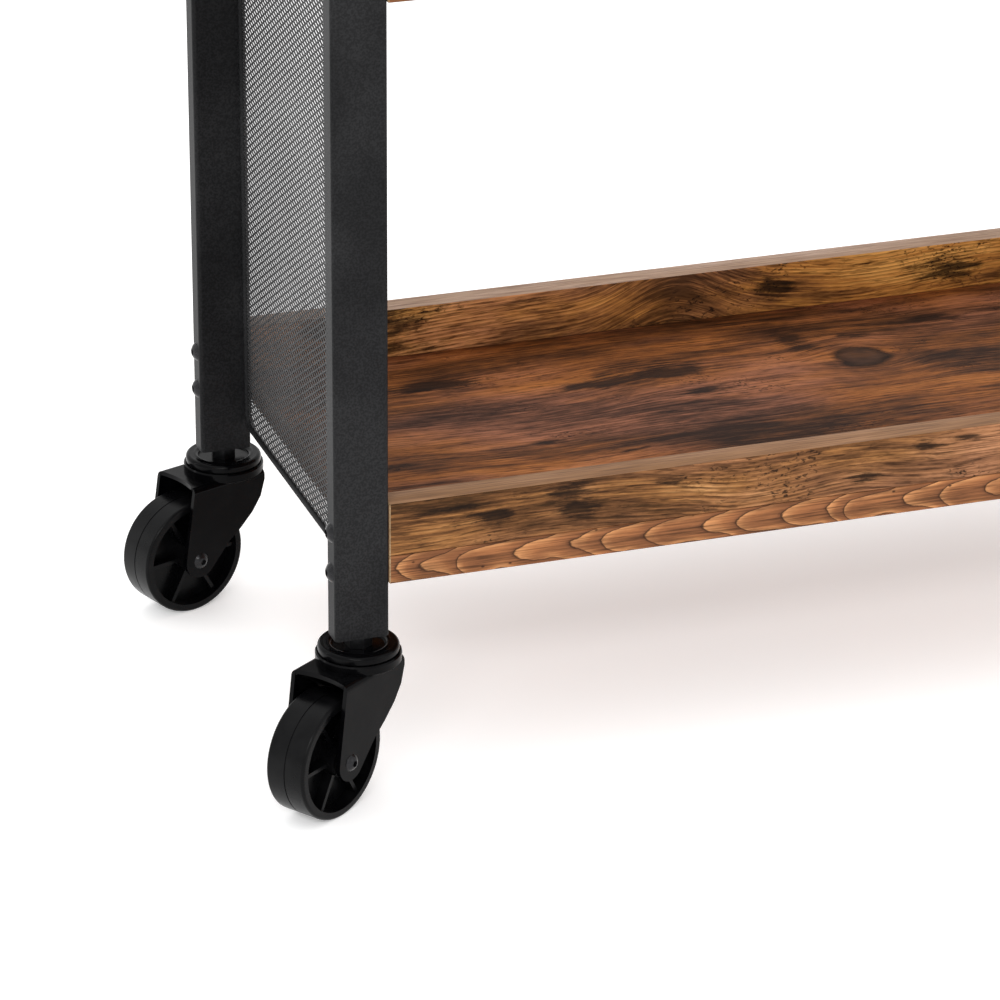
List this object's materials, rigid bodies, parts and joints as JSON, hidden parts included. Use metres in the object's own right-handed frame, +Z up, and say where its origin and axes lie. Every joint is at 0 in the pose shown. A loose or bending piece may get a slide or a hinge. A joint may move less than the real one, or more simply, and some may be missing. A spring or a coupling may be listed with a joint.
{
  "type": "bar cart on wheels",
  "caption": "Three-tier bar cart: black rectangular-tube end frames with mesh panels, railed wood-print shelves, swivel casters.",
  "frame": {"origin": "on the floor, under the middle of the cart's overall box", "axes": "+Z up; +X along the shelves, towards the end with the braked casters; -Y is the front"},
  "size_m": [0.7588, 0.358, 0.87],
  "materials": {
    "powder_coated_steel": "fine-textured black powder coat",
    "expanded_mesh": "expanded steel mesh, black powder coat",
    "printed_board": "particle board with a printed rustic-brown wood face",
    "beech": "plain fluted beech dowel",
    "zinc_plated_steel": "zinc plated",
    "black_screws": "black-oxide screws and nuts",
    "caster_enamel": "gloss black enamel on pressed steel",
    "wheel_plastic": "moulded black nylon, semi-gloss",
    "pedal_plastic": "moulded black pedal"
  },
  "bodies": {
    "frame": {"leg_front_left": "powder_coated_steel", "leg_rear_left": "powder_coated_steel", "leg_front_right": "powder_coated_steel", "leg_rear_right": "powder_coated_steel", "handle_left": "powder_coated_steel", "handle_right": "powder_coated_steel", "mesh_frame_left": "powder_coated_steel", "mesh_frame_right": "powder_coated_steel", "mesh_sheet_left": "expanded_mesh", "mesh_sheet_right": "expanded_mesh", "shelf_bottom": "printed_board", "shelf_middle": "printed_board", "shelf_top": "printed_board", "rail_bottom_front": "printed_board", "rail_bottom_rear": "printed_board", "rail_middle_front": "printed_board", "rail_middle_rear": "printed_board", "rail_top_front": "printed_board", "rail_top_rear": "printed_board", "rail_dowels": "beech", "frame_bolts": "black_screws", "thread_inserts": "zinc_plated_steel", "leg_plugs": "zinc_plated_steel", "stem_front_left": "zinc_plated_steel", "stem_rear_left": "zinc_plated_steel", "stem_front_right": "zinc_plated_steel", "stem_rear_right": "zinc_plated_steel", "race_cap_front_left": "caster_enamel", "race_cap_rear_left": "caster_enamel", "race_cap_front_right": "caster_enamel", "race_cap_rear_right": "caster_enamel"},
    "swivel_front_left": {"fork_front_left": "caster_enamel", "ball_ring_front_left": "zinc_plated_steel", "axle_bolt_front_left": "black_screws", "axle_nut_front_left": "black_screws"},
    "wheel_body_front_left": {"wheel_front_left": "wheel_plastic", "wheel_bush_front_left": "zinc_plated_steel"},
    "swivel_rear_left": {"fork_rear_left": "caster_enamel", "ball_ring_rear_left": "zinc_plated_steel", "axle_bolt_rear_left": "black_screws", "axle_nut_rear_left": "black_screws"},
    "wheel_body_rear_left": {"wheel_rear_left": "wheel_plastic", "wheel_bush_rear_left": "zinc_plated_steel"},
    "swivel_front_right": {"fork_front_right": "caster_enamel", "ball_ring_front_right": "zinc_plated_steel", "axle_bolt_front_right": "black_screws", "axle_nut_front_right": "black_screws", "brake_pin_front_right": "zinc_plated_steel"},
    "wheel_body_front_right": {"wheel_front_right": "wheel_plastic", "wheel_bush_front_right": "zinc_plated_steel"},
    "brake_front_right": {"brake_pedal_front_right": "pedal_plastic"},
    "swivel_rear_right": {"fork_rear_right": "caster_enamel", "ball_ring_rear_right": "zinc_plated_steel", "axle_bolt_rear_right": "black_screws", "axle_nut_rear_right": "black_screws", "brake_pin_rear_right": "zinc_plated_steel"},
    "wheel_body_rear_right": {"wheel_rear_right": "wheel_plastic", "wheel_bush_rear_right": "zinc_plated_steel"},
    "brake_rear_right": {"brake_pedal_rear_right": "pedal_plastic"}
  },
  "joints": [
    {"name": "swivel_front_left", "type": "hinge", "parent": "frame", "child": "swivel_front_left", "pos_m": [-0.315, -0.1325, 0.08], "axis": [0, 0, 1], "continuous": true},
    {"name": "roll_front_left", "type": "hinge", "parent": "swivel_front_left", "child": "wheel_body_front_left", "pos_m": [-0.33998, -0.14999, 0.034], "axis": [0.5736, -0.8192, 0], "continuous": true},
    {"name": "swivel_rear_left", "type": "hinge", "parent": "frame", "child": "swivel_rear_left", "pos_m": [-0.315, 0.1325, 0.08], "axis": [0, 0, 1], "continuous": true},
    {"name": "roll_rear_left", "type": "hinge", "parent": "swivel_rear_left", "child": "wheel_body_rear_left", "pos_m": [-0.34366, 0.12207, 0.034], "axis": [0.342, -0.9397, 0], "continuous": true},
    {"name": "swivel_front_right", "type": "hinge", "parent": "frame", "child": "swivel_front_right", "pos_m": [0.315, -0.1325, 0.08], "axis": [0, 0, 1], "continuous": true},
    {"name": "roll_front_right", "type": "hinge", "parent": "swivel_front_right", "child": "wheel_body_front_right", "pos_m": [0.34366, -0.12207, 0.034], "axis": [-0.342, 0.9397, 0], "continuous": true},
    {"name": "brake_press_front_right", "type": "hinge", "parent": "swivel_front_right", "child": "brake_front_right", "pos_m": [0.33802, -0.12412, 0.0727], "axis": [-0.342, 0.9397, 0], "range_deg": [0, 12]},
    {"name": "swivel_rear_right", "type": "hinge", "parent": "frame", "child": "swivel_rear_right", "pos_m": [0.315, 0.1325, 0.08], "axis": [0, 0, 1], "continuous": true},
    {"name": "roll_rear_right", "type": "hinge", "parent": "swivel_rear_right", "child": "wheel_body_rear_right", "pos_m": [0.33998, 0.14999, 0.034], "axis": [-0.5736, 0.8192, 0], "continuous": true},
    {"name": "brake_press_rear_right", "type": "hinge", "parent": "swivel_rear_right", "child": "brake_rear_right", "pos_m": [0.33507, 0.14655, 0.0727], "axis": [-0.5736, 0.8192, 0], "range_deg": [0, 12]}
  ]
}
